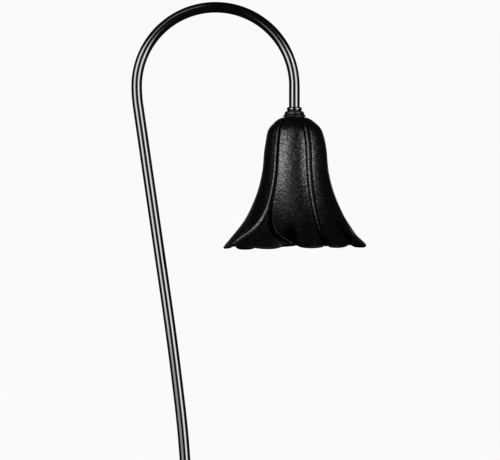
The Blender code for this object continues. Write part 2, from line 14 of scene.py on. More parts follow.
import bmesh
import bpy
import numpy as np
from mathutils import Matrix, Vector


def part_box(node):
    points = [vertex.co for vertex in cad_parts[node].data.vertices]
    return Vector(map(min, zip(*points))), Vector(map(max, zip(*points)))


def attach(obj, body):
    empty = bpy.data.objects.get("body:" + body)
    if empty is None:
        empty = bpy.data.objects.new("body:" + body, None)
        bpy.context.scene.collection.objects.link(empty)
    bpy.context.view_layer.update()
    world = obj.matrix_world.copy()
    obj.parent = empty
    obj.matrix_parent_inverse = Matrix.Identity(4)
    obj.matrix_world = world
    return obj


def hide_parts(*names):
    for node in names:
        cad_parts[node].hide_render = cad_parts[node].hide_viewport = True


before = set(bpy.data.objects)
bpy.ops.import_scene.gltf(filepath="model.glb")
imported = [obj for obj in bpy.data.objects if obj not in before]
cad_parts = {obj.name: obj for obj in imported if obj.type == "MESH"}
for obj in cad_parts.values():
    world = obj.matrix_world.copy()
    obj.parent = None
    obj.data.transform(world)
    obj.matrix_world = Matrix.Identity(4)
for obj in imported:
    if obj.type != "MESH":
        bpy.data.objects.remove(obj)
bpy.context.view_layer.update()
MM = 0.001


def box_of(node):
    """The lowest and the highest corner of a piece of the working model, in millimetres."""
    return np.array(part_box(node)) / MM


# %% [markdown]
# ## The camera
#
# The light is looked at from straight in front, level with the lower part of the shade, through a long
# lens. A long lens keeps the tube the same width all along, as a catalogue picture does. The stake is
# below the picture's lower edge.

# %% Camera
LENS = 100.0  # focal length in mm
SENSOR = 36.0  # sensor width in mm
VIEW_WIDTH = 616.5  # what the picture takes in across, at the hook's plane
AIM_LEFT, AIM_DOWN = 61.3, 281.2  # from the corner of the hook's box, right and up

hook_low, hook_high = box_of("hook_stem")
camera = bpy.data.objects.new("camera", bpy.data.cameras.new("camera"))
bpy.context.scene.collection.objects.link(camera)
camera.data.lens = LENS
camera.data.sensor_width = SENSOR
stand = (hook_high[0] - AIM_LEFT, -VIEW_WIDTH * LENS / SENSOR, hook_high[2] - AIM_DOWN)
camera.location = np.array(stand) * MM
camera.rotation_euler = (math.radians(90), 0, 0)
bpy.context.scene.camera = camera
print("camera at", np.round(np.array(camera.location), 3).tolist())

# %% [markdown]
# ## Surfaces from grids
#
# Most of this light is turned, bent or cast, so each skin is a sheet of points with rows and columns.
# The whole sheet is worked out at once with numpy and then handed to Blender. A sheet that closes on
# itself joins its last column to its first, and a pole is a row of points in one place, which are merged.
# A finish may need to know where it is on a piece, so a sheet can carry marks: one number for each point.


# %% Rings and sums
GAP = 0.3  # left between two pieces that touch


def circle(columns):
    """That many angles, evenly round one turn from 0."""
    return np.linspace(0, math.tau, columns, endpoint=False)


def around_z(radius, angle, height, x=0.0):
    """Points (x + r cos a, r sin a, z), for arrays of radius, angle and height that fit together."""
    parts = np.broadcast_arrays(x + radius * np.cos(angle), radius * np.sin(angle), height)
    return np.stack(parts, axis=-1)


def running_sum(steps):
    """0, then the sum of the steps up to each one."""
    return np.concatenate([[0.0], np.cumsum(steps)])


# %% Grid to mesh
def join_grid(name, points, along=False, sharp=35, marks=None):
    """A mesh through points[row, column], whose last column joins the first, and along, the rows too."""
    rows, columns = points.shape[:2]
    index = np.arange(rows * columns).reshape(rows, columns)
    index = np.concatenate([index, index[:, :1]], axis=1)
    if along:
        index = np.concatenate([index, index[:1]], axis=0)
    corners = (index[:-1, :-1], index[:-1, 1:], index[1:, 1:], index[1:, :-1])
    faces = np.stack(corners, axis=-1).reshape(-1, 4)
    mesh = bpy.data.meshes.new(name)
    mesh.from_pydata((points * MM).reshape(-1, 3).tolist(), [], faces.tolist())
    for mark, values in (marks or {}).items():
        layer = mesh.attributes.new(mark, "FLOAT", "POINT")
        layer.data.foreach_set("value", values.reshape(-1).astype(np.float32))
    merge_and_face_out(mesh)
    mesh.shade_smooth()
    mesh.set_sharp_from_angle(angle=math.radians(sharp))
    return mesh


def merge_and_face_out(mesh):
    """Welds the poles and seams, then turns every face of the closed skin outwards."""
    work = bmesh.new()
    work.from_mesh(mesh)
    bmesh.ops.remove_doubles(work, verts=work.verts, dist=1e-7)
    bmesh.ops.recalc_face_normals(work, faces=work.faces)
    work.to_mesh(mesh)
    work.free()


# %% Mesh to piece
def finish_piece(mesh, material, body, slot, *nodes):
    """Makes a mesh into a piece of the light: its finish, the body it rides on and what it stands for."""
    piece = bpy.data.objects.new(mesh.name, mesh)
    bpy.context.scene.collection.objects.link(piece)
    mesh.materials.clear()
    mesh.materials.append(material)
    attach(piece, body)
    if nodes:
        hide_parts(*nodes)
    print(f"{mesh.name}: {len(mesh.polygons)} faces")


# %% Outlines and the lathe
def fillet(corners, radius, steps=5):
    """An outline with each inner corner rounded. The arc is a quadratic blend from one side to the other.

    corners are (r, z) or (r, z, own radius), and the blend starts and ends one radius from the corner,
    or at 45% of a side that is too short for that."""
    plain = np.array([corner[:2] for corner in corners], float)
    own = [corner[2] if len(corner) > 2 else radius for corner in corners]
    share = np.linspace(0, 1, steps)[:, None]
    line = [plain[:1]]
    for before, corner, after, reach in zip(plain, plain[1:], plain[2:], own[1:]):
        back, ahead = before - corner, after - corner
        start = corner + back * min(reach / np.linalg.norm(back), 0.45)
        end = corner + ahead * min(reach / np.linalg.norm(ahead), 0.45)
        line.append((1 - share) ** 2 * start + 2 * share * (1 - share) * corner + share**2 * end)
    line.append(plain[-1:])
    return np.concatenate(line)


def turn(name, outline, x=0.0, columns=96, closed=True):
    """A lathe: each (r, z) of the outline goes round an upright axis at x."""
    points = around_z(outline[:, :1], circle(columns), outline[:, 1:], x)
    return join_grid(name, points, along=closed)


# %% [markdown]
# ## Finishes
#
# Each finish is one material that reads Object coordinates, so the grain has its real size.
# A finish has a colour that isn't quite even, a roughness that varies, and a relief from its bump.
# These small helpers keep the node trees short: one adds a node, one lays noise over the surface, and
# one sets the relief.


# %% Node helpers
class Finish:
    """A material under construction: its node tree and its Principled shader."""

    def __init__(self, name, colour, roughness, metallic=0.0):
        self.material = bpy.data.materials.new(name)
        self.material.use_nodes = True
        self.tree = self.material.node_tree
        self.shader = self.tree.nodes["Principled BSDF"]
        self.set("Base Color", (*colour, 1.0))
        self.set("Roughness", roughness)
        self.set("Metallic", metallic)
        self.place = self.add("ShaderNodeTexCoord").outputs["Object"]
        self.height = None

    def set(self, socket, value):
        """Gives one of the shader's own sockets a plain value."""
        self.shader.inputs[socket].default_value = value

    def add(self, kind, **inputs):
        """A node of that kind, each input given as a value or as an output to link."""
        node = self.tree.nodes.new(kind)
        for name, value in inputs.items():
            socket = node.inputs[name.replace("_", " ")]
            if isinstance(value, bpy.types.NodeSocket):
                self.tree.links.new(value, socket)
            else:
                socket.default_value = value
        return node

    def stretched(self, x, y, z):
        """The object's coordinates, scaled along each axis."""
        return self.add("ShaderNodeMapping", Vector=self.place, Scale=(x, y, z)).outputs["Vector"]

    def noise(self, size, detail=3.0, where=None, soft=0.5):
        """Cloudy noise whose patches are about size millimetres across, from 0 to 1."""
        look = dict(Scale=1 / (size * MM), Detail=detail, Roughness=soft)
        return self.add("ShaderNodeTexNoise", Vector=where or self.place, **look).outputs["Fac"]

    def cloud(self, size, detail=4.0, where=None):
        """The same noise, spread so that it reaches both 0 and 1."""
        return self.fit(self.noise(size, detail, where), 0.0, 1.0)

    def fit(self, value, low, high, start=0.35, end=0.65):
        """The value, with start to end laid over low to high."""
        spans = dict(From_Min=start, From_Max=end, To_Min=low, To_Max=high)
        return self.add("ShaderNodeMapRange", Value=value, **spans).outputs["Result"]

    def times(self, first, second):
        """The product of two outputs."""
        node = self.tree.nodes.new("ShaderNodeMath")
        node.operation = "MULTIPLY"
        self.tree.links.new(first, node.inputs[0])
        self.tree.links.new(second, node.inputs[1])
        return node.outputs[0]

    def mix(self, share, first, second):
        """Two colours mixed by share, each a colour or an output."""
        node = self.tree.nodes.new("ShaderNodeMix")
        node.data_type = "RGBA"
        self.tree.links.new(share, node.inputs[0])
        for socket, colour in ((node.inputs[6], first), (node.inputs[7], second)):
            if isinstance(colour, bpy.types.NodeSocket):
                self.tree.links.new(colour, socket)
            else:
                socket.default_value = (*colour, 1.0)
        return node.outputs[2]

    def wire(self, output, socket):
        """Feeds one of the shader's own sockets."""
        self.tree.links.new(output, self.shader.inputs[socket])

    def relief(self, height, depth):
        """Adds a bump of that depth in millimetres, on top of the bumps already there."""
        bump = self.add("ShaderNodeBump", Height=height, Distance=depth * MM, Strength=1.0)
        if self.height:
            self.tree.links.new(self.height, bump.inputs["Normal"])
        self.height = bump.outputs["Normal"]
        self.wire(self.height, "Normal")

    def mark(self, name):
        """The number that the mesh's points carry under that name."""
        node = self.tree.nodes.new("ShaderNodeAttribute")
        node.attribute_name = name
        return node.outputs["Fac"]


# %% [markdown]
# ### Gloss black enamel
#
# The tube and the fittings at the neck are sprayed with gloss black enamel over steel. It is smooth
# enough to mirror a lamp as a clear stripe. Sprayed paint has a faint orange peel about a millimetre
# across, and handling leaves hair-fine scratches that run round the tube and show only as a change in
# roughness.


# %% Enamel
def gloss_enamel(name="gloss_black_enamel", rough=(0.11, 0.21)):
    """Black under a clear coat. Scratches times haze decides how rough it is, from rough[0] to rough[1]."""
    finish = Finish(name, (0.0015, 0.0016, 0.0018), 0.2)
    finish.set("Specular IOR Level", 1.0)
    finish.set("Coat Weight", 1.0)
    finish.set("Coat Roughness", rough[0] * 0.7)
    tone = finish.cloud(9, 3.0)
    finish.wire(finish.mix(tone, (0.0012, 0.0013, 0.0015), (0.0022, 0.0022, 0.0023)), "Base Color")
    scratches = finish.noise(0.5, 2.0, finish.stretched(1, 1, 9))
    haze = finish.noise(24, 4.0)
    finish.wire(finish.fit(finish.times(scratches, haze), *rough, 0.12, 0.4), "Roughness")
    finish.relief(finish.noise(1.3, 1.0), 0.006)
    finish.relief(finish.noise(6, 1.0), 0.012)
    return finish.material


enamel = gloss_enamel()
satin = gloss_enamel("satin_black_enamel", (0.3, 0.42))
print("enamels:", enamel.name, satin.name)

# %% [markdown]
# ### Textured powder coat
#
# The shade is cast, and its black powder coat is baked on over a fine sand-cast texture. The stipple is
# a real surface, so it breaks a highlight into a soft, grainy band, and small pits in the coat take some
# of its shine away. Along the raised petal edges a lighter line is painted in as a highlight, stronger on
# the side of each petal where the lamps' highlight falls. In the grooves and on the rim's edge, shade is
# painted in: the colour is darker and the shine is damped. The mesh marks its edges and grooves, and the
# finish reads those two marks.


# %% Powder coat
def powder_coat():
    """Black with a coarse and a fine grain in its relief, a shine that the pits lower, a painted highlight
    on the raised edges and painted shade in the grooves.
    """
    finish = Finish("textured_black_casting", (0.0012, 0.0015, 0.0017), 0.32)
    grain = finish.noise(2.8, 2.0, soft=0.6)
    fine = finish.noise(1.1, 1.0)
    pits = finish.fit(finish.noise(2.0, 1.0, soft=0.6), 0.5, 1.4)
    # edge carries where a highlight is painted, groove where shade is painted
    edge, groove = finish.mark("edge"), finish.mark("groove")
    base = finish.mix(finish.cloud(14), (0.0008, 0.0011, 0.0013), (0.0018, 0.0021, 0.0023))
    speck = finish.mix(finish.fit(grain, 0.0, 1.0, 0.55, 0.75), base, (0.006, 0.006, 0.006))
    # Painted highlight: a lighter line along the raised petal edges.
    edge_highlight = finish.mix(edge, speck, (0.11, 0.11, 0.106))
    # Painted shade: the grooves and the rim's edge are painted darker.
    finish.wire(finish.mix(groove, edge_highlight, (0.0006, 0.0007, 0.0008)), "Base Color")
    finish.wire(finish.fit(finish.noise(3.5, 3.0), 0.24, 0.34), "Roughness")
    # The painted shade also damps the shine in the grooves and on the rim's edge.
    shine = finish.times(finish.fit(groove, 0.8, 0.08, 0.0, 0.9), pits)
    finish.wire(shine, "Specular IOR Level")
    finish.relief(grain, 0.6)
    finish.relief(fine, 0.08)
    return finish.material


coat = powder_coat()
print("coat:", coat.name)

# %% [markdown]
# ### The stake, rubber and other mouldings
#
# Moulded parts share one recipe: a fine spark-eroded grain from the mould and broad, faint flow marks.
# The stake's plastic is black, the rubber is duller and softer, and the small insulators are cream.


# %% Mouldings
def moulding(name, dark, light, roughness, grain=0.5, depth=0.03):
    """A plastic or rubber between two tones, with flow marks drawn out along Z."""
    finish = Finish(name, dark, roughness)
    flow = finish.cloud(12, where=finish.stretched(1, 1, 0.35))
    finish.wire(finish.mix(flow, dark, light), "Base Color")
    spots = finish.noise(2.2, 3.0)
    finish.wire(finish.fit(spots, roughness - 0.06, roughness + 0.08), "Roughness")
    finish.relief(finish.noise(grain, 2.0), depth)
    return finish.material


stake_plastic = moulding("stake_plastic", (0.012, 0.012, 0.013), (0.021, 0.021, 0.022), 0.52)
rubber = moulding("black_rubber", (0.014, 0.014, 0.015), (0.026, 0.026, 0.027), 0.72, 0.35)
insulation = moulding("lead_insulation", (0.02, 0.02, 0.022), (0.032, 0.032, 0.034), 0.5, 0.8)
cream = moulding("cream_plastic", (0.72, 0.69, 0.62), (0.78, 0.76, 0.7), 0.36, 0.8, 0.015)
blue = moulding("connector_plastic", (0.035, 0.09, 0.24), (0.05, 0.12, 0.3), 0.4, 0.8)
print("mouldings:", stake_plastic.name, rubber.name, insulation.name, cream.name, blue.name)

# %% [markdown]
# ### Metals
#
# Turned brass and spun aluminium carry tool marks that go round the axis, so their grain is noise that
# is squeezed along Z: thin across the height and long round the piece. The filament's tungsten is drawn
# wire and darker. Zinc plating is cloudy instead.


# %% Metals
def turned_metal(name, dark, light, roughness, groove=0.25, depth=0.008):
    """A metal whose tool marks are groove millimetres apart along Z."""
    finish = Finish(name, dark, roughness, metallic=1.0)
    lines = finish.noise(groove, 2.0, finish.stretched(0.05, 0.05, 1))
    finish.wire(finish.mix(finish.cloud(7), dark, light), "Base Color")
    finish.wire(finish.fit(lines, roughness - 0.08, roughness + 0.1), "Roughness")
    finish.relief(lines, depth)
    return finish.material


def plated_steel():
    """Zinc whose crystals change its tint and its roughness together."""
    finish = Finish("zinc_steel", (0.56, 0.57, 0.58), 0.34, metallic=1.0)
    spangle = finish.noise(1.8, 4.0)
    tint = finish.mix(finish.fit(spangle, 0.0, 1.0), (0.5, 0.51, 0.52), (0.66, 0.66, 0.64))
    finish.wire(tint, "Base Color")
    finish.wire(finish.fit(spangle, 0.26, 0.44), "Roughness")
    finish.relief(finish.noise(0.6, 2.0), 0.006)
    return finish.material


brass = turned_metal("brass", (0.62, 0.44, 0.18), (0.76, 0.58, 0.28), 0.3)
aluminium = turned_metal("satin_aluminium", (0.66, 0.67, 0.68), (0.78, 0.79, 0.8), 0.3)
tungsten = turned_metal("tungsten", (0.28, 0.27, 0.26), (0.4, 0.39, 0.38), 0.42)
zinc = plated_steel()
print("metals:", brass.name, aluminium.name, tungsten.name, zinc.name)

# %% [markdown]
# ### Porcelain and glass
#
# The lamp holder is glazed porcelain: a clear coat over a body that isn't quite white, with a few
# pinholes. The lamp's glass is clear and thin, and its refraction shows only at its edge.


# %% Porcelain and glass
def porcelain():
    """A glaze in two creamy tones, with rare brown pinholes where the noise peaks."""
    finish = Finish("socket_porcelain", (0.8, 0.78, 0.72), 0.16)
    finish.set("Coat Weight", 0.5)
    finish.set("Coat Roughness", 0.05)
    glaze = finish.mix(finish.cloud(5), (0.82, 0.8, 0.74), (0.76, 0.73, 0.66))
    pinholes = finish.fit(finish.noise(0.5, 1.0), 0.0, 1.0, 0.74, 0.8)
    finish.wire(finish.mix(pinholes, glaze, (0.35, 0.3, 0.24)), "Base Color")
    finish.wire(finish.fit(finish.noise(1.5), 0.12, 0.24), "Roughness")
    finish.relief(finish.noise(3, 2.0), 0.02)
    return finish.material


def lamp_glass():
    """Clear glass with a slightly uneven surface, as blown glass has."""
    finish = Finish("bulb_glass", (0.97, 0.98, 0.985), 0.02)
    finish.set("Transmission Weight", 1.0)
    finish.set("IOR", 1.5)
    finish.wire(finish.fit(finish.noise(4, 2.0), 0.01, 0.05), "Roughness")
    finish.relief(finish.noise(7, 1.0), 0.015)
    return finish.material


glaze = porcelain()
glass = lamp_glass()
print("lamp and holder:", glaze.name, glass.name)

# %% [markdown]
# ## The hook
#
# The stem is one length of steel tube. A bender works from a list: push out so much tube, then turn so
# far. The same list gives the centreline here. The heading is found at every half millimetre of tube,
# and adding up its sine and cosine gives the place, which is exact enough to land on the frame.

# %% The bender's list
TUBE_RADIUS = (hook_high[1] - hook_low[1]) / 2
TUBE_WALL = 1.5
LEAN = math.radians(8.27)
LOWER_LEAN = math.radians(6.5)
ARC_RADIUS = 97.2
# each step's length of tube, and how far the tube turns over it
bends = [
    (26, 0.0),
    (146, -LOWER_LEAN),
    (145, LOWER_LEAN - LEAN),
    (234.2, 0.0),
    (24.5, LEAN),
    (math.pi * ARC_RADIUS, math.pi),
    (34.5, 0.0),
]


def centreline(bends, foot, step=0.5):
    """Length, x, z and heading at every step along the tube. The heading grows evenly through a bend."""
    ends = running_sum([length for length, _ in bends])
    headings = running_sum([swept for _, swept in bends])
    along = np.linspace(0, ends[-1], round(ends[-1] / step) + 1)
    heading = np.interp(along, ends, headings)
    middle = np.interp((along[1:] + along[:-1]) / 2, ends, headings)
    piece = np.diff(along)
    x = running_sum(piece * np.sin(middle))
    z = foot + running_sum(piece * np.cos(middle))
    return along, x, z, heading


along, line_x, line_z, heading = centreline(bends, hook_low[2])
HEAD_X, TUBE_END = line_x[-1], line_z[-1]
print(f"tube: {along[-1]:.0f} mm long, ends at x {HEAD_X:.1f}, z {TUBE_END:.1f}")

# %% [markdown]
# A ring of points is carried along that line, first up the outside and then back down the bore, so the
# tube has a real wall and rounded ends. A tube flattens a little where it is bent tightly: the ring is
# drawn 1.5% narrower in the bend's plane and as much wider across it, in step with the curvature.


# %% Carry a ring along the tube
def bent_tube(name, sides=56, spacing=2.5):
    """Rows of rings: centre + r (cos a * sideways + sin a * Y), where sideways is across the heading."""
    count = round(along[-1] / spacing) + 1
    stations = np.linspace(0, along[-1], count)
    edge = 0.35
    ease = edge * (1 - np.sqrt(np.array([1.0, 0.55, 0.2, 0.0])))
    lip = edge * np.array([1.0, 0.45, 0.12, 0.0])
    up = np.concatenate([ease, stations[1:-1], along[-1] - ease[::-1]])
    outer = np.full(up.shape, TUBE_RADIUS)
    outer[:4] -= lip
    outer[-4:] -= lip[::-1]
    inner = np.full(count, TUBE_RADIUS - TUBE_WALL)
    at = np.concatenate([up, stations[::-1]])
    radius = np.concatenate([outer, inner])[:, None]
    x, z = np.interp(at, along, line_x)[:, None], np.interp(at, along, line_z)[:, None]
    head = np.interp(at, along, heading)[:, None]
    bend = np.gradient(heading, along)
    oval = 0.015 * np.interp(at, along, bend)[:, None] * ARC_RADIUS
    angle = circle(sides)
    sideways = radius * (1 - oval) * np.cos(angle)
    across = radius * (1 + 0.5 * oval) * np.sin(angle)
    points = np.stack([x + sideways * np.cos(head), across, z - sideways * np.sin(head)], axis=-1)
    return join_grid(name, points, along=True)


finish_piece(bent_tube("hook_tube"), enamel, "stem", "gloss_black_enamel", "hook_stem")

# %% [markdown]
# ## The bell-flower shade
#
# The shade is one casting, but it is drawn as six petals. Three broad outer petals meet edge to edge
# from the crown down to the waist. There their edges swing apart and curl, and three inner petals show
# in the gaps. Each outer petal has a midrib between two grooves, and the rim is scalloped in twelve
# lobes.
#
# It could be sculpted, or built from six separate shells. Here it is one sheet in bell coordinates: the
# distance along the bell's outline, and the angle round it. The sheet's columns follow the petals'
# edges, so an edge stays crisp where it sweeps across the bell.

# %% The bell's outline
SHADE_TOP = box_of("shade_shell")[1, 2]
HOLE_RADIUS, WALL = 5.2, 2.6
SWAY = 1.2  # how far the casting stands off its axis below the crown
RADII = [13.2, 18.4, 24.6, 32.8, 37.5, 40.4, 48.4, 63.0, 88.0]
DROPS = [0.0, 1.3, 5.8, 16.5, 38.0, 68.0, 97.6, 127.2, 159.0]
BELL = np.stack([RADII, DROPS], axis=1)


def smooth_outline(points, steps=60):
    """A Catmull-Rom curve through (radius, drop), with its first and last side repeated at the ends."""
    padded = np.concatenate([points[:1], points, points[-1:]])
    t = np.linspace(0, 1, steps, endpoint=False)[None, :, None]
    a, b, c, d = (padded[i : len(padded) - 3 + i][:, None] for i in range(4))
    part = 0.5 * (
        2 * b + (c - a) * t + (2 * a - 5 * b + 4 * c - d) * t**2 + (3 * b - a - 3 * c + d) * t**3
    )
    return np.concatenate([part.reshape(-1, 2), points[-1:]])


outline = smooth_outline(BELL)
outline_length = running_sum(np.hypot(*np.diff(outline, axis=0).T))
DROP = outline[-1, 1]
slope = np.gradient(outline, outline_length, axis=0)
slope /= np.linalg.norm(slope, axis=1)[:, None]
print(f"bell: {2 * outline[-1, 0]:.0f} mm across, {outline_length[-1]:.0f} mm along its side")

# %% [markdown]
# ### Where the petals' edges run
#
# An outer petal spans 57 degrees each side of its midrib as far as the waist, 100 mm down. From there
# each edge closes in, slowly at first, by a power of the share of the way. The petals were modelled by
# hand, so each has its own two angles at the rim.
#
# The columns are given as stations on one half of a petal. Near the midrib and near the edge they are
# fixed distances in millimetres, so that a groove or a rolled edge keeps its width, and in between they
# share out what is left.

# %% Columns that follow the petals
# each petal's midrib, and how far its left and right edges stand from it at the rim, in degrees
PETALS = [(-66.3, 28.5, 25.0), (53.7, 28.0, 28.0), (173.7, 28.0, 36.0)]
SECTOR = math.pi / len(PETALS)  # half of a petal's share of the turn
WIDE = math.radians(57)  # from a midrib to either edge, above the waist
WAIST = 100  # below the shade's top
SWING = math.radians(0.8)


def edge_angle(drop, narrow):
    """How far an edge stands from its midrib: WIDE above the waist, then closing in to narrow."""
    share = np.clip((drop - WAIST) / (DROP - WAIST), 0, 1)
    return WIDE - (WIDE - narrow) * share**2.1


def half_petal_stations():
    """Columns as (share of the edge angle, share of the sector, offset in mm), midrib to sector."""
    rib_end, lip_start, step_end = 6.4, 3.0, 0.5
    rib = [(0, 0, offset) for offset in np.linspace(0, rib_end, 15)]
    body = [(s, 0, (1 - s) * rib_end - s * lip_start) for s in np.linspace(0, 1, 17)[1:-1]]
    lip = [(1, 0, offset) for offset in np.linspace(-lip_start, 0, 12)]
    step = [(1, 0, offset) for offset in np.linspace(0, step_end, 5)[1:]]
    gap = [(1 - s, s, (1 - s) * step_end) for s in np.linspace(0, 1, 14)[1:]]
    return np.array(rib + body + lip + step + gap)


def petal_grid(drop, radius):
    """Angle, angle from the midrib and distance past the edge, for each row and column.

    angle = midrib + side * (share * edge + share * sector + offset / radius). The midrib itself swings
    a little to one side on its way down, and the swing fades to nothing at the edges. In a gap,
    from_next is the distance from the edge of the petal on its right. side is -1 left of a midrib, and
    narrow is the edge's angle at the rim. The last two have one value for each column."""
    half = half_petal_stations()
    both = np.concatenate([half[:0:-1], half[:-1]])
    side = np.concatenate([-np.ones(len(half) - 1), np.ones(len(half) - 1)])
    reach = np.maximum(radius, RADII[0])[:, None]
    drop = drop[:, None]
    sheets = []
    for (midrib, left, right), following in zip(PETALS, PETALS[1:] + PETALS[:1]):
        narrow = np.radians(np.where(side < 0, left, right))
        edge = edge_angle(drop, narrow)
        from_rib = both[:, 0] * edge + both[:, 1] * SECTOR + both[:, 2] / reach
        from_rib = np.clip(from_rib, 0, SECTOR)
        past_edge = (from_rib - edge) * reach
        swing = -SWING * (drop / DROP) ** 1.2 * np.clip(1 - from_rib / edge, 0, 1)
        angle = math.radians(midrib) + side * from_rib + swing
        next_edge = edge_angle(drop, math.radians(following[1]))
        whole_gap = (2 * SECTOR - edge - next_edge) * reach
        from_next = np.where(side < 0, past_edge, whole_gap - past_edge)
        columns = (np.tile(values, (len(drop), 1)) for values in (side, narrow))
        sheets.append(np.stack([angle, from_rib, past_edge, from_next, *columns]))
    return np.concatenate(sheets, axis=2)


# %% [markdown]
# ### The relief
#
# The height of the surface over the plain bell is a sum of a few shapes, each a formula of the two
# distances:
#
# - the midrib is a low bell curve, with a narrower groove each side of it
# - an outer petal's edge is rolled up into a lip, and past it the surface drops to the inner petal
# - the inner petal slants down and tucks under the outer petal on its right
# - an inner petal is crowned, with a shallow rib of its own near the rim
# - near the rim the whole wall ruffles, in step with the scallops


# %% Relief of the petals
LOBES = 12  # scallops round the rim
RUFFLE = 1.1
STEP = 1.7  # from an outer petal down to the inner one


def hump(distance, width):
    """A bell curve of height 1."""
    return np.exp(-((distance / width) ** 2))


def ease(value, start, end):
    """0 before start, 1 after end, smooth in between."""
    share = np.clip((value - start) / (end - start), 0, 1)
    return share * share * (3 - 2 * share)


def below_crown(drop):
    """The crown is plain: the relief comes in over 14 mm under it."""
    return ease(drop, 2, 16)


def ruffle(drop, from_rib):
    """The whole wall's wave near the rim, in step with its LOBES."""
    return RUFFLE * ease(drop, WAIST, DROP) ** 3 * -np.cos(LOBES * from_rib)


def relief(drop, reach, from_rib, past_edge, from_next, side):
    """Height over the bell in millimetres, for arrays of the same shape."""
    arc = from_rib * reach
    flare = ease(drop, WAIST, DROP)
    outer = past_edge <= 0
    rib = 0.6 * (1 - 0.8 * flare) * hump(arc, 0.7)
    grooves = -1.4 * hump(arc - 2.75, 1.3)
    rolled = np.where(side > 0, 1.0 + 0.5 * flare, 0.2 + 1.0 * flare)
    lip = rolled * hump(past_edge + 1.0, 0.95)
    trough = -0.35 * rolled * hump(past_edge + 3.6, 1.6)
    step = -(STEP - 0.5 * flare * side) * ease(past_edge, -0.1, 0.45)
    tuck = -1.5 * (1 - ease(from_next, 0.2, 5.0)) * ease(past_edge, 0, 0.4)
    to_middle = (SECTOR - from_rib) * reach
    inner_crown = 0.7 * flare * ease(past_edge, 2, 9)
    inner_rib = -0.5 * flare * hump(to_middle - 2.2, 0.9)
    swell = 0.35 * np.cos(6 * from_rib) * ease(drop, 20, 70)
    height = np.where(outer, rib + grooves + trough, inner_crown + inner_rib + tuck)
    height = height + lip + step + swell
    return below_crown(drop) * height + ruffle(drop, from_rib)


def rim_height(angle, from_rib, side, narrow):
    """How far the rim hangs below the shade's top at each angle, as two |sine| arches to each petal.

    An arch goes from the height of its own petal's middle notch to that of the petal's lobes. Where two
    petals meet, a bell curve pulls the rim up to a notch, deep at the edge that laps over the other. The
    casting isn't quite true: its rim is 2 mm high at the back and right, and low at its left tip."""
    outer = from_rib <= narrow
    width = np.where(outer, narrow, SECTOR - narrow)
    arch = np.abs(np.sin(math.pi * (from_rib - narrow) / width)) ** 0.7
    notch = DROP + np.where(outer, -1.4, 0.8)
    lobe = DROP + np.where(outer, 1.4, 2.5)
    plain = notch + (lobe - notch) * arch
    meeting = DROP - np.where(side < 0, 3.2, 0.8)
    reach = np.radians(np.where((side < 0) & ~outer, 8.5, 4.5))
    high = 2.0 * ease(np.cos(angle - math.radians(30)), -0.1, 0.6)
    low = 1.6 * ease(np.cos(angle + math.radians(172)), 0.93, 0.975)
    return plain + (meeting - plain) * hump(from_rib - narrow, reach) - high + low


# %% [markdown]
# ### One closed skin
#
# The rows go down the outside, round the rim's edge, back up the inside and through the hole at the top.
# The inside follows the bell at the wall's thickness, with only a soft trace of the petals, as the core
# of a casting would leave it. Two numbers are kept for the finish: where a painted highlight runs along
# the raised edges, and where painted shade lies in the grooves and on the rim's edge.


# %% Points on the bell
def bell_line(side):
    """Radius and drop of the plain outline, side millimetres along it."""
    return [np.interp(side, outline_length, outline[:, i]) for i in (0, 1)]


def bell_point(side, angle, depth):
    """Points side millimetres along the outline, moved depth out along the outline's normal."""
    radius, drop = bell_line(side)
    out, down = (np.interp(side, outline_length, slope[:, i]) for i in (0, 1))
    sway = SWAY * ease(drop, 4, 34)
    return around_z(radius + depth * down, angle, SHADE_TOP - drop + depth * out, HEAD_X + sway)


# %% Cast the shade
RIM_LIFT = 2.4  # what the relief and the round edge add below the rim's line
RIM_BLEND = 20  # over how much of the height the rows bend to the rim's line


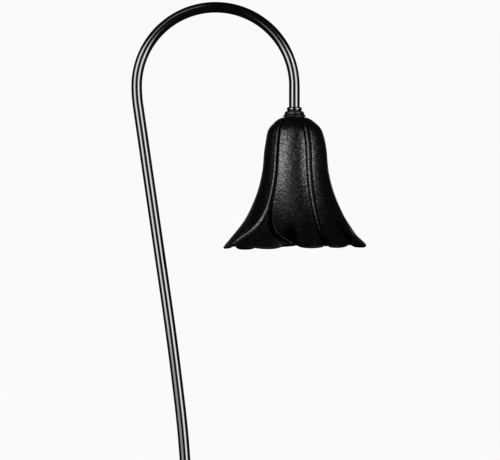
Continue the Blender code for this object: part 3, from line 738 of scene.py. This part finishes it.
def cast_shade(name, rows=190):
    """The whole casting as one closed sheet of rows and columns."""
    side = np.linspace(0, 1, rows) ** 0.92 * outline_length[-1]
    radius, drop = bell_line(side)
    angle, from_rib, past_edge, from_next, side_of_rib, narrow = petal_grid(drop, radius)
    side = side[:, None]
    reach = np.maximum(radius, RADII[0])[:, None]
    height = relief(drop[:, None], reach, from_rib, past_edge, from_next, side_of_rib)
    outside = bell_point(side, angle, height)
    rim_line = rim_height(angle[-1], from_rib[-1], side_of_rib[-1], narrow[-1])
    rim_z = SHADE_TOP - rim_line + RIM_LIFT
    near_rim = ease(drop, DROP - RIM_BLEND, DROP)[:, None, None]
    hang = (rim_z - outside[-1, :, 2])[:, None] * near_rim * [0, 0, 1]
    outside = outside + hang
    soft_step = -STEP * ease(past_edge, -2.5, 2.5) * below_crown(drop)[:, None]
    wave = ruffle(drop[:, None], from_rib)
    inside = (bell_point(side, angle, soft_step + wave - WALL) + hang)[::-3]
    first, last = outside[-1], inside[0]
    bulge = np.linspace(0, math.pi, 9)[1:-1, None, None]
    tip_way = (first - outside[-3]) / np.linalg.norm(first - outside[-3], axis=1)[:, None]
    half = (first - last) / 2
    size = np.linalg.norm(half, axis=1)[:, None]
    rim = (first + last) / 2 + half * np.cos(bulge) + tip_way * size * 0.8 * np.sin(bulge)
    hole = around_z(HOLE_RADIUS, angle[0], SHADE_TOP, HEAD_X)
    below = hole - [0, 0, WALL]
    inside[-1] = below + (inside[-1] - below) * [1, 1, 0] * 0.8
    points = np.concatenate([hole[None], outside, rim, inside, below[None]])
    # Painted highlight: a lighter line on the rolled petal edges, strong on the side of each petal where
    # the lamps' highlight falls and weak on the other.
    lip = ease(height, 0.45, 1.2) * (past_edge > -2.4) * (past_edge < 0.2)
    lip = lip * np.where(side_of_rib > 0, 0.9, 0.3)
    # Painted shade: the grooves, and the gaps where an inner petal tucks under the next outer one, are
    # painted darker and duller.
    groove = ease(-height, 0.25, 0.7) * (past_edge < 0)
    deep = ease(past_edge, 0.1, 0.5) * (1 - ease(from_next, 4.5, 9))
    # The painted highlight fades out towards the crown.
    side_wall = ease(drop, 14, 40)[:, None]
    # A thin painted highlight along the upper part of the midrib.
    rib_highlight = 0.3 * hump(from_rib * reach, 0.6) * (1 - ease(drop, WAIST - 30, WAIST))[:, None]
    marks = {mark: np.zeros(points.shape[:2]) for mark in ("edge", "groove")}
    marks["edge"][1 : rows + 1] = np.maximum(lip, rib_highlight) * side_wall
    marks["groove"][1 : rows + 1] = np.maximum(groove, deep)
    # Painted shade along the rim's edge as well, which dulls its shine.
    marks["groove"][rows + 1 : rows + 1 + len(rim)] = 0.9
    return join_grid(name, points, along=True, sharp=50, marks=marks)


shade = cast_shade("bell_flower_shade")
finish_piece(shade, coat, "shade", "textured_black_casting", "shade_shell")

# %% [markdown]
# ## The neck
#
# Above the flower are a small lock ring, pushed up against the tube, and a cap that flares out like a
# flower's calyx. Both are turned on a lathe, so their outlines are lists of corners with each corner
# rounded. The frame gives their heights. The cap's enamel is duller than the tube's.

# %% Lock ring and cap
ring_low, ring_high = box_of("lock_ring")[:, 2]
cap_low, cap_high = box_of("shade_cap")[:, 2]
BORE = TUBE_RADIUS + GAP
NIPPLE_HOLE = 5.1  # radius of the hole that the threaded nipple passes through

bead = np.linspace(-math.pi / 2, math.pi / 2, 13)
bead_radius = 7.6 + 1.6 * np.cos(bead) ** 0.8
bead_height = (ring_low + ring_high) / 2 + (ring_high - ring_low) / 2 * np.sin(bead)
bead_line = np.stack([bead_radius, bead_height], axis=1)
ring_outline = np.concatenate([bead_line, [(BORE, ring_high), (BORE, ring_low)]])
neck_ring = turn("neck_ring", ring_outline, HEAD_X)
finish_piece(neck_ring, enamel, "lock_ring", "gloss_black_enamel", "lock_ring")

cap_outline = fillet(
    [
        (BORE, cap_high),
        (10.2, cap_high),
        (11.6, cap_high - 1.0, 0.7),
        (12.5, cap_low + 2.0, 0.8),
        (14.6, cap_low + 0.4, 0.3),
        (14.4, cap_low),
        (NIPPLE_HOLE, cap_low),
        (NIPPLE_HOLE, TUBE_END - GAP),
        (BORE, TUBE_END - GAP),
    ],
    0.35,
)
neck_cap = turn("neck_cap", cap_outline, HEAD_X)
finish_piece(neck_cap, satin, "stem", "gloss_black_enamel", "shade_cap")

# %% [markdown]
# ## Inside the flower
#
# Seen from below, a spun aluminium cup holds the porcelain lamp holder, and a small wedge-base lamp is
# pushed up into it. The cup's lip is curled outwards, which is how spinning stiffens thin metal.

# %% Lamp holder cup
cup_low, cup_high = box_of("socket_cup")[:, 2]
CUP_RADIUS, CUP_WALL = 15.0, 0.9
cup_outline = fillet(
    [
        (NIPPLE_HOLE, cup_high),
        (CUP_RADIUS - 2.6, cup_high),
        (CUP_RADIUS, cup_high - 2.6),
        (CUP_RADIUS, cup_high - 9),
        (CUP_RADIUS - 0.35, cup_high - 9.6),
        (CUP_RADIUS, cup_high - 10.2),
        (CUP_RADIUS, cup_low + 2.2),
        (CUP_RADIUS + 0.7, cup_low + 1.2),
        (CUP_RADIUS + 0.7, cup_low),
        (CUP_RADIUS - CUP_WALL, cup_low),
        (CUP_RADIUS - CUP_WALL, cup_high - 3),
        (CUP_RADIUS - 3, cup_high - CUP_WALL),
        (NIPPLE_HOLE, cup_high - CUP_WALL),
    ],
    0.8,
)
lamp_cup = turn("lamp_cup", cup_outline, HEAD_X)
finish_piece(lamp_cup, aluminium, "stem", "satin_aluminium", "socket_cup")

# %% [markdown]
# ### The lamp
#
# The glass is blown: a straight neck swells into a ball. Its outline is drawn once outside and once
# inside, at the thickness of the glass. The filament is a fine coil on two legs, and the base changes
# from a round collar into a flat wedge, which is a loft between two outlines.

# %% Glass
glass_low, glass_high = box_of("bulb_glass")
BALL = (glass_high[0] - glass_low[0]) / 2
NECK, GLASS_WALL = 6.9, 0.8
ball_centre = glass_low[2] + BALL
start_angle = math.asin((NECK + 1.2) / BALL)


def glass_line(depth):
    """Neck, then an arc of a circle about the ball's centre, moved in by depth."""
    arc = np.linspace(start_angle, math.pi, 40)
    ball = np.stack([(BALL - depth) * np.sin(arc), ball_centre + (BALL - depth) * np.cos(arc)], axis=1)
    neck = fillet(
        [
            (NECK - depth, glass_high[2]),
            (NECK - depth, ball_centre + (BALL - depth) * math.cos(start_angle) + 4.6),
            tuple(ball[0]),
        ],
        3,
        8,
    )
    return np.concatenate([neck, ball[1:]])


bulb_outline = np.concatenate([glass_line(GLASS_WALL)[::-1], glass_line(0.0)])
bulb = turn("lamp_glass", bulb_outline, HEAD_X, closed=False)
finish_piece(bulb, glass, "lamp", "bulb_glass", "bulb_glass")


# %% Filament
def carried_ring(name, path, radius, sides=8):
    """A wire: rings carried along a path, with each ring's sideways direction across the X axis."""
    tangent = np.gradient(path, axis=0)
    tangent /= np.linalg.norm(tangent, axis=1)[:, None]
    sideways = np.cross(tangent, [1.0, 0.0, 0.0])
    sideways /= np.linalg.norm(sideways, axis=1)[:, None]
    upward = np.cross(tangent, sideways)
    angle = circle(sides)[None, :, None]
    rings = path[:, None] + radius * (
        np.cos(angle) * sideways[:, None] + np.sin(angle) * upward[:, None]
    )
    ends = [np.repeat(path[i][None, None], sides, axis=1) for i in (0, -1)]
    return join_grid(name, np.concatenate([ends[0], rings, ends[1]]))


HALF_GAP = 3.2  # from the lamp's axis to a leg
COIL, TURNS, PER_TURN = 0.55, 14, 14
turns = np.linspace(0, TURNS * math.tau, TURNS * PER_TURN + 1)
coil = np.stack(
    [
        HEAD_X - HALF_GAP + 2 * HALF_GAP * turns / turns[-1],
        COIL * np.sin(turns),
        ball_centre + COIL * (1 - np.cos(turns)) + 0.6 * np.sin(math.pi * turns / turns[-1]),
    ],
    axis=1,
)
leg = np.linspace(glass_high[2], ball_centre + 0.3, 20)
left_leg = np.stack([HEAD_X - HALF_GAP + 0 * leg, 0 * leg, leg], axis=1)
right_leg = left_leg[::-1] + [2 * HALF_GAP, 0, 0]
filament_path = np.concatenate([left_leg, coil, right_leg])
filament = carried_ring("lamp_filament", filament_path, 0.16)
finish_piece(filament, tungsten, "lamp", "tungsten", "bulb_filament")

# %% Wedge base
base_low, base_high = box_of("bulb_base")
COLLAR = (base_high[0] - base_low[0]) / 2
collar_top = base_low[2] + 3.7


def squared_ring(half_width, half_depth, squareness, angle):
    """A superellipse: |x / w|^n + |y / d|^n = 1, round at n = 2 and nearly square at n = 8."""
    power = 2 / squareness
    x = half_width * np.sign(np.cos(angle)) * np.abs(np.cos(angle)) ** power
    y = half_depth * np.sign(np.sin(angle)) * np.abs(np.sin(angle)) ** power
    return x, y


def wedge_base(name):
    """Rows of superellipses, each (z, half width, half depth, n), from the collar's foot up."""
    rows = [
        (base_low[2], 0.0, 0.0, 2.0),
        (base_low[2], COLLAR - 0.5, COLLAR - 0.5, 2.0),
        (base_low[2] + 0.5, COLLAR, COLLAR, 2.0),
        (collar_top - 0.6, COLLAR, COLLAR, 2.0),
        (collar_top, COLLAR - 0.6, COLLAR - 0.6, 2.0),
        (collar_top, 7.9, 2.6, 6.0),
        (collar_top + 0.4, 7.8, 2.2, 7.0),
        (base_high[2] - 1.4, 7.8, 2.15, 7.0),
        (base_high[2] - 0.3, 7.0, 1.9, 6.0),
        (base_high[2], 6.4, 1.4, 5.0),
        (base_high[2], 0.0, 0.0, 5.0),
    ]
    height, half_width, half_depth, squareness = np.array(rows).T[:, :, None]
    x, y = squared_ring(half_width, half_depth, squareness, circle(96))
    points = np.stack(np.broadcast_arrays(HEAD_X + x, y, height), axis=-1)
    return join_grid(name, points, sharp=40)


finish_piece(wedge_base("lamp_base"), cream, "lamp", "cream_plastic", "bulb_base")

# %% [markdown]
# ## The ground stake
#
# The stake is moulded in one piece, but it is easiest to draw as two: a turned hub with its flange and
# its hollow for the cable's joints, and four crossed blades below. On the hub, one side is pushed out
# flat to make a boss for the cable's grommet.

# %% Hub
washer_low, washer_high = box_of("stake_washer")[:, 2]
insert_low, insert_high = box_of("stake_insert")[:, 2]
HUB_TOP = insert_high
FLANGE = box_of("ground_stake")[1][0]
BOSS_FACE, BOSS_RADIUS, BOSS_HEIGHT = 21.5, 8.0, 19.0

hub_outline = fillet(
    [
        (0.0, 6),
        (15.5, 6),
        (15.5, insert_low - 2),
        (12.8, insert_low),
        (12.8, HUB_TOP, 0.4),
        (17.5, HUB_TOP),
        (19.9, 7.4, 4),
        (23.0, 4.2, 2),
        (FLANGE - 1.2, 3.8, 1),
        (FLANGE, 2.6),
        (FLANGE, 0.9),
        (FLANGE - 1.2, 0.0, 0.8),
        (0.0, 0.0),
    ],
    1.0,
    7,
)


def resample(line, spacing):
    """Extra points on the long sides of an outline, no further apart than spacing."""
    pieces = [line[:1]]
    for start, end in zip(line, line[1:]):
        count = max(1, math.ceil(np.linalg.norm(end - start) / spacing))
        pieces.append(start + (end - start) * np.linspace(0, 1, count + 1)[1:, None])
    return np.concatenate(pieces)


def hub_with_boss(name, columns=144):
    """The lathe's surface, with the outside pushed out to the plane y = BOSS_FACE inside a circle.

    Where the distance from the boss's axis is under its radius, a point moves out along its own ray
    until y = BOSS_FACE, and the move fades over 1.5 mm at the circle's edge."""
    line = resample(hub_outline, 1.0)
    angle = circle(columns) + math.pi / 2
    radius, height = line[:, :1], line[:, 1:]
    off_axis = np.hypot(radius * np.cos(angle), height - BOSS_HEIGHT)
    outside = (line[:, :1] > 16) & (np.sin(angle) > 0.5)
    wanted = BOSS_FACE / np.maximum(np.sin(angle), 0.5)
    share = (1 - ease(off_axis, BOSS_RADIUS - 0.4, BOSS_RADIUS + 1.1)) * outside
    radius = radius + np.maximum(wanted - radius, 0) * share
    return join_grid(name, around_z(radius, angle, height))


finish_piece(hub_with_boss("stake_hub"), stake_plastic, "base", "stake_plastic", "ground_stake")

# %% [markdown]
# ### Blades
#
# Across the stake, the blades make a plus sign with rounded tips and filleted corners. One quarter of
# that outline is worked out in arm lengths and thicknesses and turned four times. Going down, the arm
# shortens to a blunt point and the blades get thinner, as a mould needs.

# %% Plus-shaped section, lofted to the point
TIP = box_of("ground_stake")[0][2]


def plus_outline(arm, half_thick, corner):
    """One turn of a plus sign, for arrays of arm, half thickness and corner radius, one per row.

    Each quarter goes along one side of an arm, round its tip as a half circle's quarter pair, and back
    along the other side to the filleted inner corner."""
    arm, half_thick, corner = (values[:, None] for values in (arm, half_thick, corner))
    reach, inner = arm - half_thick, half_thick + corner
    tip = np.linspace(-math.pi / 2, math.pi / 2, 9)
    bend = np.linspace(0, math.pi / 2, 6)[1:-1]
    lower = inner + (reach - inner) * np.linspace(0, 1, 7)[:-1]
    flat = half_thick + 0 * lower
    x = [lower, reach + half_thick * np.cos(tip), lower[:, ::-1], inner - corner * np.sin(bend)]
    y = [-flat, half_thick * np.sin(tip), flat, inner - corner * np.cos(bend)]
    x, y = np.concatenate(x, axis=1), np.concatenate(y, axis=1)
    quarters = [
        np.stack([x * math.cos(q) - y * math.sin(q), x * math.sin(q) + y * math.cos(q)], axis=-1)
        for q in np.arange(4) * math.pi / 2
    ]
    return np.concatenate(quarters, axis=1)


def blades(name):
    """Rows of plus signs from inside the flange to the point, then a pole at each end."""
    depth = np.array([0, 3, 10, 16, 60, 212, 228, 230])
    arms = np.array([31, 31, 25.6, 22, 18.9, 6, 2.9, 1.6])
    rows = np.linspace(-1.5, -TIP, 150)
    arm = np.interp(rows, depth, arms)
    smooth = np.convolve(np.pad(arm, 3, mode="edge"), np.ones(7) / 7, mode="valid")
    thick = np.interp(rows, [0, -TIP], [1.8, 1.15])
    thick = np.minimum(thick, smooth * 0.8)
    corner = np.minimum(2.2, (smooth - thick) * 0.3)
    flat = plus_outline(smooth, thick, corner)
    points = np.concatenate([flat, np.repeat(-rows[:, None, None], flat.shape[1], axis=1)], axis=2)
    top, bottom = points[:1] * [0, 0, 1], points[-1:] * [0, 0, 1]
    return join_grid(name, np.concatenate([top, points, bottom]), sharp=40)


finish_piece(blades("stake_blades"), stake_plastic, "base", "stake_plastic")

# %% [markdown]
# ## Fittings at the foot
#
# The tube's threaded bushing screws into the stake, and a nut locks it over a rubber washer. A thread is
# a lathe surface whose radius also depends on the angle: it is a triangle wave of the height less the
# angle's share of one pitch. The nut is a lathe surface too: its radius is the smaller of a hexagon's and
# of the cone that chamfers its corners.

# %% Threaded bushing
bushing_low, bushing_high = box_of("stem_bushing")[:, 2]
THREAD_RADIUS, PITCH = 10.3, 1.4


def threaded_bushing(name, columns=96):
    """r = thread radius - depth * triangle((z - pitch * angle / turn) / pitch), smooth at both ends."""
    height = np.arange(bushing_low, bushing_high, 0.175)[:, None]
    angle = circle(columns)
    phase = (height / PITCH - angle / math.tau) % 1.0
    tooth = np.abs(2 * phase - 1)
    fade = ease(height, bushing_low, bushing_low + 1.2)
    fade = fade * (1 - ease(height, bushing_high - 1.6, bushing_high - 0.8))
    ends = ease(height, bushing_high - 0.8, bushing_high)
    radius = THREAD_RADIUS - 0.05 - 0.75 * tooth * fade - 0.7 * ends
    wall = around_z(radius, angle, height)
    bore = around_z(BORE, angle, np.array([[bushing_high], [bushing_low]]))
    return join_grid(name, np.concatenate([wall, bore]), along=True, sharp=40)


finish_piece(threaded_bushing("foot_bushing"), brass, "stem", "brass", "stem_bushing")

# %% Locking nut
nut_low, nut_high = box_of("jam_nut")
nut_foot, nut_top = nut_low[2], nut_high[2]
FLATS = (nut_high[1] - nut_low[1]) / 2


def hex_nut(name, columns=144):
    """r = min(flats / cos(angle from the nearest flat), chamfer cone), with a bore inside."""
    angle = circle(columns) + math.pi / 6
    off_flat = (angle + math.pi / 6 + math.pi / 2) % (math.pi / 3) - math.pi / 6
    hexagon = FLATS / np.cos(off_flat)
    height = np.linspace(nut_foot, nut_top, 25)[:, None]
    to_end = np.minimum(height - nut_foot, nut_top - height)
    cone = FLATS - 0.2 + to_end / math.tan(math.radians(30))
    radius = np.minimum(hexagon, cone)
    bore_radius = THREAD_RADIUS + np.array([0.9, 0.25, 0.25, 0.9])[:, None]
    bore_height = np.array([nut_top, nut_top - 0.6, nut_foot + 0.6, nut_foot])[:, None]
    bore = around_z(bore_radius, angle, bore_height)
    wall = around_z(radius, angle, height)
    return join_grid(name, np.concatenate([wall, bore]), along=True, sharp=28)


finish_piece(hex_nut("locking_nut"), enamel, "base", "gloss_black_enamel", "jam_nut")

# %% Washer and grommet
washer_outline = fillet(
    [
        (THREAD_RADIUS + GAP, washer_low),
        (15, washer_low),
        (15, washer_high),
        (THREAD_RADIUS + GAP, washer_high),
    ],
    0.5,
)
finish_piece(turn("sealing_washer", washer_outline), rubber, "base", "rubber", "stake_washer")

grommet_low, grommet_high = box_of("cable_grommet")
GROMMET = (grommet_high[0] - grommet_low[0]) / 2
grommet_outline = fillet(
    [
        (0.0, BOSS_FACE + 0.6),
        (2.4, BOSS_FACE + 0.6),
        (3.1, grommet_high[1] - 0.1),
        (GROMMET - 0.6, grommet_high[1]),
        (GROMMET, grommet_high[1] - 0.9),
        (GROMMET, BOSS_FACE + GAP),
        (0.0, BOSS_FACE + GAP),
    ],
    0.45,
)


def grommet(name):
    """Turned about Z, then laid over so that its axis is the line through the boss along Y."""
    lying = around_z(grommet_outline[:, :1], circle(96), grommet_outline[:, 1:])
    x, y, z = np.moveaxis(lying, -1, 0)
    return join_grid(name, np.stack([x, z, BOSS_HEIGHT - y], axis=-1))


finish_piece(grommet("hub_grommet"), rubber, "base", "rubber", "cable_grommet")

# %% [markdown]
# ## Finishes for the pieces that stay as they are
#
# The small fittings inside are right as the working model has them. Each gets the finish of its metal,
# rubber or plastic.

# %% Finish the fittings
fittings = {
    brass: ("stake_insert", "nipple", "nipple_nut", "cup_nut", "contact_front", "contact_back"),
    zinc: ("inner_washer", "socket_screw_left", "socket_screw_right"),
    rubber: ("cap_gasket",),
    insulation: ("lead_front", "lead_back"),
    cream: ("nipple_bushing",),
    glaze: ("socket_body",),
    blue: ("wire_nut_front", "wire_nut_back"),
}
for material, nodes in fittings.items():
    for node in nodes:
        for material_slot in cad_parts[node].material_slots:
            material_slot.material = material
print("fittings finished:", sum(map(len, fittings.values())))

# %% [markdown]
# ## Floor and light
#
# The floor is a pale disc just under the stake's point. Towards its edge it turns into the background's
# own tone, so no edge shows.
#
# Two tall soft boxes stand either side of the camera, each with a brighter core in front. A glossy tube
# shows each of them as one upright stripe, with black between and outside, and the shade shows them as
# broad bands. The left one is a little warm and the right one a little cool. A dimmer box high up on
# the left draws the thin line along the hook's arc. Nothing hangs overhead, so the top of the hook and
# the crown of the flower stay dark, and two faint boxes behind keep the back from going quite black.

# %% Floor
BACKGROUND = 0.961


def pale_floor():
    """Diffuse in the middle, and glowing as bright as the background from 1.2 m outwards."""
    finish = Finish("pale_floor", (0.9, 0.9, 0.9), 0.9)
    finish.set("Specular IOR Level", 0.0)
    glow = finish.add("ShaderNodeEmission", Color=(BACKGROUND, BACKGROUND, BACKGROUND, 1.0))
    distance = finish.add("ShaderNodeVectorMath")
    distance.operation = "LENGTH"
    finish.tree.links.new(finish.place, distance.inputs[0])
    share = finish.fit(distance.outputs["Value"], 0.55, 1.0, 0.2, 1.2)
    blend = finish.tree.nodes.new("ShaderNodeMixShader")
    finish.tree.links.new(share, blend.inputs[0])
    finish.tree.links.new(finish.shader.outputs[0], blend.inputs[1])
    finish.tree.links.new(glow.outputs[0], blend.inputs[2])
    finish.tree.links.new(blend.outputs[0], finish.tree.nodes["Material Output"].inputs[0])
    return finish.material


FLOOR_RADIUS, FLOOR_TOP, FLOOR_FOOT = 1500.0, TIP - 1, TIP - 6
disc = [(0.0, FLOOR_TOP), (FLOOR_RADIUS, FLOOR_TOP), (FLOOR_RADIUS, FLOOR_FOOT), (0.0, FLOOR_FOOT)]
floor_mesh = turn("floor", np.array(disc), columns=128, closed=False)
floor_mesh.materials.append(pale_floor())
floor = bpy.data.objects.new("floor", floor_mesh)
bpy.context.scene.collection.objects.link(floor)
floor.visible_glossy = False


# %% World
ROOM_GLOW = 0.012


def studio_world():
    """White behind the object for the camera, and a nearly black room for everything else."""
    world = bpy.data.worlds.new("studio")
    world.use_nodes = True
    nodes, links = world.node_tree.nodes, world.node_tree.links
    room, backdrop = nodes["Background"], nodes.new("ShaderNodeBackground")
    room.inputs["Color"].default_value = (1.0, 1.0, 1.0, 1.0)
    room.inputs["Strength"].default_value = ROOM_GLOW
    backdrop.inputs["Color"].default_value = (BACKGROUND, BACKGROUND, BACKGROUND, 1.0)
    sight = nodes.new("ShaderNodeLightPath")
    blend = nodes.new("ShaderNodeMixShader")
    links.new(sight.outputs["Is Camera Ray"], blend.inputs[0])
    links.new(room.outputs[0], blend.inputs[1])
    links.new(backdrop.outputs[0], blend.inputs[2])
    links.new(blend.outputs[0], nodes["World Output"].inputs[0])
    bpy.context.scene.world = world


studio_world()
print("world:", bpy.context.scene.world.name)


# %% Lights
def soft_box(name, bearings, heights, glow, distance=3.0, tint=(1.0, 1.0, 1.0)):
    """A soft box that fills a window of the view from the hook: bearings in degrees, heights in metres.

    Bearing 0 is at the camera's side and 90 to the right, and heights count from the camera's. glow is
    how bright its face looks next to a white of 1, so its power is glow times pi times its area."""
    left, right = (math.radians(angle) for angle in bearings)
    middle = (left + right) / 2
    width = 2 * distance * math.tan((right - left) / 2)
    data = bpy.data.lights.new(name, "AREA")
    data.shape = "RECTANGLE"
    data.size, data.size_y = width, heights[1] - heights[0]
    data.energy = glow * math.pi * data.size * data.size_y
    data.color = tint
    light = bpy.data.objects.new(name, data)
    bpy.context.scene.collection.objects.link(light)
    light.location = (
        camera.location.x + distance * math.sin(middle),
        -distance * math.cos(middle),
        camera.location.z + sum(heights) / 2,
    )
    light.rotation_euler = (math.radians(90), 0, middle)
    light.visible_camera = False
    print(f"{name}: {data.energy:.0f} W")


WARM, COOL = (1.0, 0.97, 0.94), (0.95, 0.99, 1.0)
soft_box("box_left", (-72, -20), (-1.15, 1.95), 2.5, tint=WARM)
soft_box("box_left_core", (-60, -34), (-0.6, 1.65), 4.0, 2.9, WARM)
soft_box("box_high_left", (-40, -10), (1.95, 4.1), 1.2, tint=WARM)
soft_box("box_right", (20, 72), (-0.9, 1.75), 2.6, tint=COOL)
soft_box("box_right_core", (30, 58), (-0.8, 1.55), 4.2, 2.9, COOL)
soft_box("box_back_left", (-176, -160), (-1.0, 1.8), 0.3, tint=WARM)
soft_box("box_back_right", (160, 176), (-1.0, 1.8), 0.3, tint=COOL)
bpy.context.scene.view_settings.gamma = 0.85
bpy.context.scene.view_settings.view_transform = "Standard"
